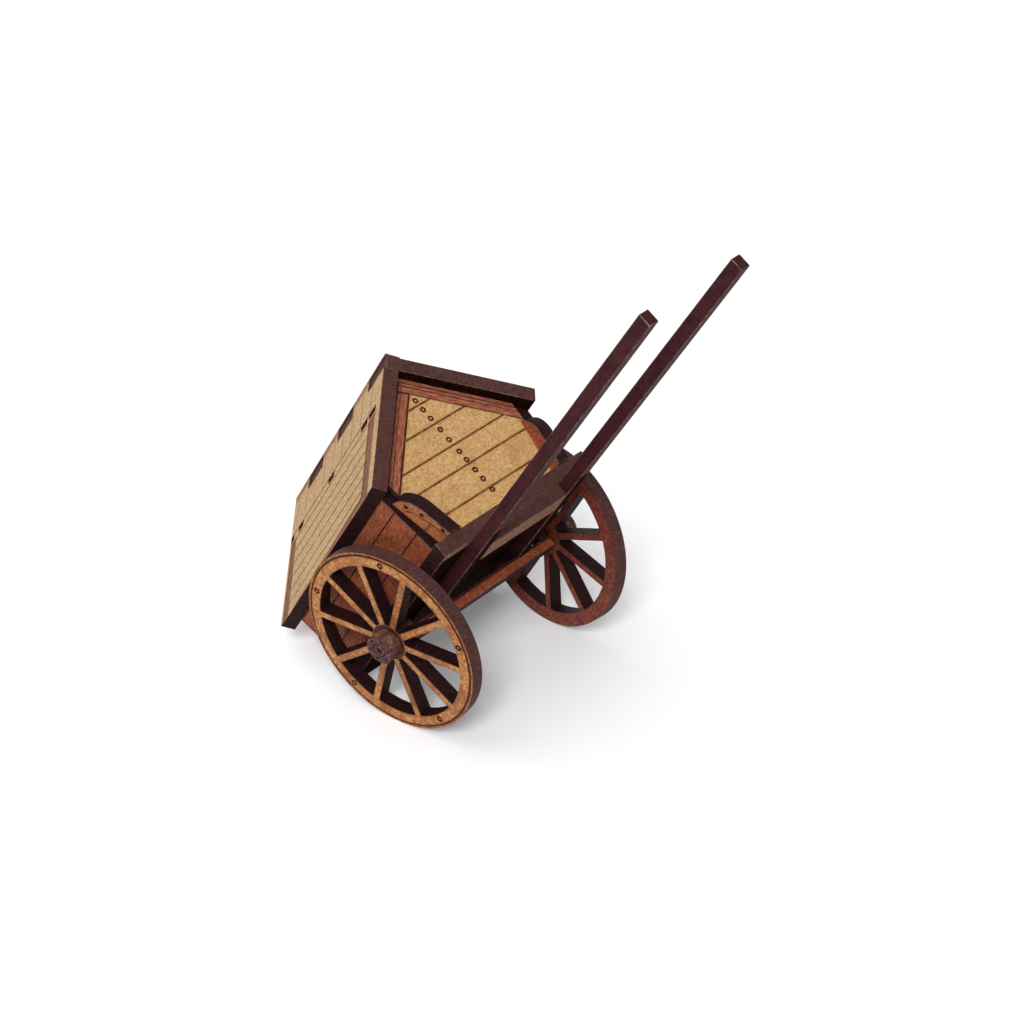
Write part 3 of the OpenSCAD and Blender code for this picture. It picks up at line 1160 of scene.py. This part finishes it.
@dataclass
class Chassis(Assembly):
    """The floor board and what is under it: shafts, crossbar and axle beam."""

    shaft_outer_y: float = 9.0
    shaft_w: float = 1.8
    shaft_tip_w: float = 1.6
    shaft_t: float = 1.8
    shaft_tip_x: float = 64.4
    shaft_rear_x: float = -5.0
    # How far forward the shafts' undersides carry painted shade; the taper also starts here
    smoked_to_x: float = 21.0
    crossbar_d: float = 4.0
    # Depth of the strip under the floor's front edge that is left out of the painted shade
    clean_d: float = 1.5
    beam_h: float = 1.6
    beam_z: float = -1.8
    beam_half_l: float = 13.8
    beam_end_l: float = 1.6
    beam_end_z: float = 0.8
    # Height of the strip along the top of the beam's front that is painted dark as shadow under the floor
    beam_smoked_h: float = 0.45
    arm_r: float = 0.6
    arm_root: float = 1.5
    arm_reach: float = 1.7

    def build(self) -> None:
        """Builds the floor, both shafts, the crossbar and the axle beam."""
        s = SHELL
        floor = block((s.floor_rear_x, -s.floor_half_w, 0), (s.floor_front_x, s.floor_half_w, s.sheet))
        unshaded_from_x = s.floor_front_x - self.clean_d
        saw(floor, Vector((unshaded_from_x, 0, 0)), Vector((1, 0, 0)), keep_both=True)
        # The floor's underside carries painted shade, all but the strip under its front edge
        paint_by_face(floor, BOARD_FACE, PAINTED_SHADE_FACE, EDGE)
        low, high = Vector((unshaded_from_x, -s.floor_half_w, -1)), Vector((s.floor_front_x, s.floor_half_w, 1))
        repaint(floor, PALE_FACE, low, high, Vector((0, 0, -1)))
        for sign in (-1, 1):
            low = Vector((s.floor_rear_x, sign * s.floor_half_w - 0.1, 0))
            high = Vector((s.floor_front_x, s.floor_half_w + 0.2, s.sheet))
            repaint(floor, DEEP_EDGE_AND_SHADE, low, high, Vector((0, sign, 0)))
        ease_edges(floor)
        self.settle(floor, "floor_board_sheet", Matrix.Translation((0, 0, s.floor_z)), "floor_board", Slot.PANEL)
        self.build_shafts()
        inner = self.shaft_outer_y - self.shaft_w
        bar = block((s.floor_front_x - self.crossbar_d, -inner, 0), (s.floor_front_x, inner, self.shaft_t))
        paint_by_face(bar, PALE_FACE, PALE_FACE, EDGE)
        ease_edges(bar)
        under = Matrix.Translation((0, 0, s.floor_z - self.shaft_t))
        self.settle(bar, "shaft_crossbar_bar", under, "shaft_crossbar", Slot.DARK)
        self.build_beam()

    def build_shafts(self) -> None:
        """Cuts the left shaft, thins it to its tip, notches it over the beam, and mirrors a copy for the right."""
        s = SHELL
        inner = self.shaft_outer_y - self.shaft_w
        shaft = block((self.shaft_rear_x, inner, 0), (self.shaft_tip_x, self.shaft_outer_y, self.shaft_t))
        for x in (s.floor_front_x, self.smoked_to_x):
            saw(shaft, Vector((x, 0, 0)), Vector((1, 0, 0)), keep_both=True)
        length = self.shaft_tip_x - s.floor_front_x
        with edited(shaft, "DESELECT", "VERT") as shape:
            for x in (self.smoked_to_x, self.shaft_tip_x):
                for vertex in shape.verts:
                    vertex.select = abs(vertex.co.x - x) < NEAR_MM and vertex.co.y < inner + NEAR_MM
                shape.select_flush_mode()
                bmesh.update_edit_mesh(shaft.data)
                taper = (self.shaft_w - self.shaft_tip_w) * (x - s.floor_front_x) / length
                bpy.ops.transform.translate(value=(0, taper, 0))
        top = self.beam_z + self.beam_h - (s.floor_z - self.shaft_t)
        combine(shaft, [block((-s.sheet / 2, 0, -5), (s.sheet / 2, self.beam_half_l, top))])
        saw(shaft, Vector((self.smoked_to_x, 0, 0)), Vector((1, 0, 0)), keep_both=True)
        paint_by_face(shaft, SHAFT_EDGE, SHAFT_EDGE, SHAFT_EDGE)
        # Undersides beneath the body get painted shade
        low, high = Vector((self.shaft_rear_x, 0, -1)), Vector((self.smoked_to_x, 20, 0.1))
        repaint(shaft, PAINTED_SHADE_FACE, low, high, Vector((0, 0, -1)))
        ease_edges(shaft)
        mirror = Matrix.Scale(-1, 4, Vector((0, 1, 0)))
        shafts = {Side.RIGHT: copied(shaft, mirror), Side.LEFT: shaft}
        for side, bar in shafts.items():
            name = f"shaft_{side.word}"
            self.settle(bar, f"{name}_bar", Matrix.Translation((0, 0, s.floor_z - self.shaft_t)), name, Slot.DARK)

    def build_beam(self) -> None:
        """Cuts the axle beam, lying on its rear face, with a raised block and a round arm at each end."""
        s = SHELL
        place = frame_of((-s.sheet / 2, 0, 0), Vector((0, 1, 0)), Vector((0, 0, 1)))
        top = self.beam_z + self.beam_h
        beam = block((-self.beam_half_l, self.beam_z, 0), (self.beam_half_l, top, s.sheet))
        inside = self.beam_end_l - self.beam_half_l
        end = block((-self.beam_half_l, self.beam_z, 0), (inside, self.beam_end_z, s.sheet))
        ends = [end, copied(end, MIRROR)]
        combine(beam, ends, Cut.JOIN)
        # The strip along the top of the beam's front gets painted shadow
        saw(beam, Vector((0, top - self.beam_smoked_h, 0)), Vector((0, 1, 0)), keep_both=True)
        paint_by_face(beam, BEAM_FACE, PAINTED_SHADE_FACE, DEEP_EDGE_AND_SHADE)
        reach = self.beam_half_l
        low, high = Vector((-reach, top - self.beam_smoked_h, 1)), Vector((reach, 1, 3))
        repaint(beam, HUB_AND_SHADOW_FACE, low, high, Vector((0, 0, 1)))
        ease_edges(beam)
        arm = disc(self.arm_r, -s.sheet / 2 - self.arm_root, self.arm_reach, sides=32)
        paint(arm, DEEP_EDGE_AND_SHADE)
        arms = [copied(arm, place.inverted() @ STANCE.wheel(side)) for side in Side]
        bpy.data.objects.remove(arm)
        combine(beam, arms, Cut.JOIN)
        self.settle(beam, "axle_beam_bar", place, "axle_beam", Slot.WHEEL)


@dataclass
class Wheels(Assembly):
    """Two ten-spoked wheels, each cut from one sheet, with tyre line, bolts and a glued hub cap."""

    radius: float = 13.0
    rim_inner_r: float = 11.1
    tyre_line_r: float = 12.6
    spokes: int = 10
    spoke_w: float = 0.95
    hub_r: float = 2.6
    bore_r: float = 0.63
    bolts: int = 5
    bolt_r: float = 11.8
    bolt_size_r: float = 0.42
    # Width and depth of the joint lines between felloes
    joint_line: tuple[float, float] = (0.16, 0.1)
    cap_r: float = 2.0
    cap_t: float = 2.0
    # The cap's engraved ring and dimple, and its pins with the circle that they stand on
    cap_ring_r: float = 1.0
    cap_dimple_r: float = 0.4
    cap_pins: int = 6
    cap_pin_r: float = 0.22
    cap_pins_at_r: float = 1.45
    # Angle of a spoke from the cart's forward direction, upwards: right wheel, left wheel
    starts_deg: tuple[float, float] = (15.5, 1.6)

    def turned(self, degrees: float) -> Matrix:
        """A turn of the flat wheel about its middle."""
        return Matrix.Rotation(math.radians(degrees), 4, "Z")

    def build(self) -> None:
        """Cuts one wheel and one cap, copies them, and turns each wheel as it stands."""
        half = SHELL.sheet / 2
        pairs = {Side.RIGHT: (self.cut_wheel(), self.cut_cap())}
        pairs[Side.LEFT] = tuple(copied(piece, Matrix.Identity(4)) for piece in pairs[Side.RIGHT])
        for side, (wheel, cap) in pairs.items():
            start = self.starts_deg[0 if side is Side.RIGHT else 1]
            place = STANCE.wheel(side) @ self.turned(-side.value * start)
            name, body = f"wheel_{side.word}", side.wheel_body
            self.settle(wheel, f"{name}_disc", place, name, Slot.WHEEL, body)
            name = f"hub_cap_{side.word}"
            self.settle(cap, f"{name}_turned", place @ Matrix.Translation((0, 0, half)), name, Slot.DARK, body)

    def cut_wheel(self) -> bpy.types.Object:
        """Cuts the rim, ten copies of a spoke and the hub, and engraves the outer face.

        Returns:
            The wheel, lying flat, with a spoke along its first axis.
        """
        half = SHELL.sheet / 2
        wheel = disc(self.radius, -half, half, sides=180)
        combine(wheel, [disc(self.rim_inner_r, -half - 1, half + 1, sides=180)])
        spoke = block((self.hub_r - 1, -self.spoke_w / 2, -half), (self.rim_inner_r + 0.6, self.spoke_w / 2, half))
        bars = [copied(spoke, self.turned(i * 360 / self.spokes)) for i in range(self.spokes)]
        bpy.data.objects.remove(spoke)
        combine(wheel, [*bars, disc(self.hub_r, -half, half, sides=90)], Cut.JOIN)
        combine(wheel, [disc(self.bore_r, -half - 1, half + 1, sides=32)])
        paint_by_face(wheel, WHEEL_FACE, WHEEL_BACK, DEEP_EDGE_AND_SHADE)
        wheel.data.materials.append(EDGE.material())
        tread = len(wheel.data.materials) - 1
        for face in wheel.data.polygons:
            if face.center.xy.length > self.radius - 0.05:
                face.material_index = tread
        ease_edges(wheel, ARRIS_MM * 0.8)
        tyre = Engraving(half, TYRE_FACE)
        tyre.ring(self.radius + 0.4, self.radius + 0.4 - self.tyre_line_r, 0.05, 180)
        tyre.cut(wheel)
        hub = Engraving(half, HUB_AND_SHADOW_FACE)
        hub.ring(self.hub_r - 0.1, self.hub_r - 0.2 - self.bore_r, 0.06, 90)
        hub.cut(wheel)
        marks = Engraving(half, DARK_LINE)
        marks.ring(self.tyre_line_r + 0.12, 0.24, 0.14, 180)
        fifth = 360 / self.bolts
        turns = [math.radians(180 / self.spokes + i * fifth) for i in range(self.bolts)]
        centres = tuple((self.bolt_r * math.cos(t), self.bolt_r * math.sin(t)) for t in turns)
        marks.ring(self.bolt_size_r, 0.25, 0.16, 20, centres)
        marks.cut(wheel)
        joints = Engraving(half, LINE)
        for t in turns:
            along = Vector((math.cos(t), math.sin(t)))
            inner = self.rim_inner_r - 0.2, self.bolt_r - self.bolt_size_r
            outer = self.bolt_r + self.bolt_size_r, self.tyre_line_r
            for start, end in (inner, outer):
                joints.line(tuple(along * start), tuple(along * end), *self.joint_line)
        joints.cut(wheel)
        return wheel

    def cut_cap(self) -> bpy.types.Object:
        """Turns the hub cap with its ring, centre and six pins.

        Returns:
            The cap, lying flat.
        """
        cap = disc(self.cap_r, 0, self.cap_t, sides=72)
        combine(cap, [disc(self.bore_r, -1, self.cap_t / 2, sides=32)])
        paint_by_face(cap, CAP_FACE, CAP_FACE, DEEP_EDGE_AND_SHADE)
        ease_edges(cap)
        marks = Engraving(self.cap_t, DARK_LINE)
        marks.ring(self.cap_ring_r, 0.16, 0.15, 48)
        marks.ring(self.cap_dimple_r, self.cap_dimple_r, 0.2, 24)
        turns = [2 * math.pi * i / self.cap_pins for i in range(self.cap_pins)]
        away = self.cap_pins_at_r
        centres = tuple((away * math.cos(t), away * math.sin(t)) for t in turns)
        marks.ring(self.cap_pin_r, self.cap_pin_r, 0.18, 16, centres)
        marks.cut(cap)
        return cap


# ---------------------------------------------------------------- stage, light and camera


@dataclass(frozen=True)
class Lamp:
    """A round softbox, placed by its direction from the cart."""

    name: str
    # Around the cart from its right side towards its front, and up, in degrees
    azimuth: float
    elevation: float
    # Light that falls on a surface facing it, where one shows a colour as it is written
    level: float
    # Width as seen from the cart, in radians
    width: float
    # Its distance, and the height of the point that it looks at, in metres
    away: float = 1.5
    aim_height: float = 0.02

    def build(self) -> None:
        """Hangs the lamp."""
        lamp = bpy.data.lights.new(self.name, "AREA")
        lamp.shape = "DISK"
        lamp.size = self.width * self.away
        lamp.energy = self.level * (math.pi * self.away) ** 2
        holder = bpy.data.objects.new(self.name, lamp)
        bpy.context.scene.collection.objects.link(holder)
        a, e = math.radians(self.azimuth), math.radians(self.elevation)
        towards = Vector((math.sin(a) * math.cos(e), -math.cos(a) * math.cos(e), math.sin(e)))
        holder.location = Vector((0, 0, self.aim_height)) + towards * self.away
        holder.rotation_mode = "QUATERNION"
        holder.rotation_quaternion = (-towards).to_track_quat("-Z", "Y")


@dataclass(frozen=True)
class Studio:
    """A plain pale floor, two softboxes and a pale surround."""

    floor_hex: str = "#F0F0F2"
    floor_glow: float = 0.15
    surround: float = 0.36
    lamps: tuple[Lamp, ...] = (
        Lamp("key_softbox", 33, 46, 0.68, 0.34),
        Lamp("second_softbox", -60, 66, 0.40, 1.1),
    )

    def build(self) -> None:
        """Lays the floor, and sets up surround and lamps."""
        bpy.ops.object.select_all(action="DESELECT")
        bpy.ops.mesh.primitive_plane_add(size=8, location=(0, 0, 0))
        floor = bpy.context.object
        floor.name = "studio_floor"
        made = bpy.data.materials.new("pale_painted_floor")
        made.use_nodes = True
        tree = made.node_tree
        shader = tree.nodes["Principled BSDF"]
        shader.inputs["Base Color"].default_value = linear(self.floor_hex)
        shader.inputs["Roughness"].default_value = 0.9
        shader.inputs["Emission Color"].default_value = (1, 1, 1, 1)
        glow = add_node(tree, "Math", {1: self.floor_glow}, {0: self._seen(tree)}, operation="MULTIPLY")
        tree.links.new(glow.outputs[0], shader.inputs["Emission Strength"])
        floor.data.materials.append(made)
        self._surround()
        for lamp in self.lamps:
            lamp.build()

    @staticmethod
    def _seen(tree: bpy.types.NodeTree) -> bpy.types.NodeSocket:
        """One for rays from the camera and for mirrored or transmitted ones, else nothing."""
        path = add_node(tree, "LightPath").outputs
        links = {0: path["Is Camera Ray"], 1: path["Is Glossy Ray"]}
        first = add_node(tree, "Math", links=links, operation="MAXIMUM").outputs[0]
        links = {0: first, 1: path["Is Transmission Ray"]}
        return add_node(tree, "Math", links=links, operation="MAXIMUM").outputs[0]

    def _surround(self) -> None:
        """Lights the scene evenly, and shows white behind it."""
        world = bpy.data.worlds.new("pale_surround")
        bpy.context.scene.world = world
        world.use_nodes = True
        tree = world.node_tree
        back = tree.nodes["Background"]
        back.inputs["Color"].default_value = (1, 1, 1, 1)
        level = add_node(tree, "MapRange", {"To Min": self.surround, "To Max": 1.0}, {"Value": self._seen(tree)})
        tree.links.new(level.outputs["Result"], back.inputs["Strength"])


@dataclass(frozen=True)
class Viewpoint:
    """The camera's place round the cart, in degrees and millimetres of the parked frame."""

    azimuth: float = 41.2087
    elevation: float = 34.1109
    roll: float = -0.3648
    distance: float = 311.0
    aim: tuple[float, float, float] = (-0.3855, 7.231, 20.577)
    lens: float = 84.54

    def build(self) -> None:
        """Makes the camera and looks through it."""
        data = bpy.data.cameras.new("viewpoint")
        data.lens = self.lens
        data.sensor_width = 36.0
        data.clip_start = 0.01
        camera = bpy.data.objects.new("viewpoint", data)
        bpy.context.scene.collection.objects.link(camera)
        a, e = math.radians(self.azimuth), math.radians(self.elevation)
        away = Vector((math.sin(a) * math.cos(e), -math.cos(a) * math.cos(e), math.sin(e)))
        camera.location = (Vector(self.aim) + away * self.distance) * MM
        camera.rotation_mode = "QUATERNION"
        level = (-away).to_track_quat("-Z", "Y")
        camera.rotation_quaternion = level @ Matrix.Rotation(math.radians(self.roll), 3, "Z").to_quaternion()
        bpy.context.scene.camera = camera


def main() -> None:
    """Builds the cart piece by piece, then the stage."""
    logging.basicConfig(level=logging.INFO, format="%(name)s %(message)s")
    roof = [RoofBoard(side=side) for side in Side]
    parts = [Chassis(), SideWalls(), Cheeks(), Gables(), *roof, Wheels()]
    for part in parts:
        part.build()
        LOG.info("%s built", type(part).__name__)
    Studio().build()
    Viewpoint().build()
    bpy.context.scene.view_settings.view_transform = "Standard"


if __name__ == "__main__":
    main()
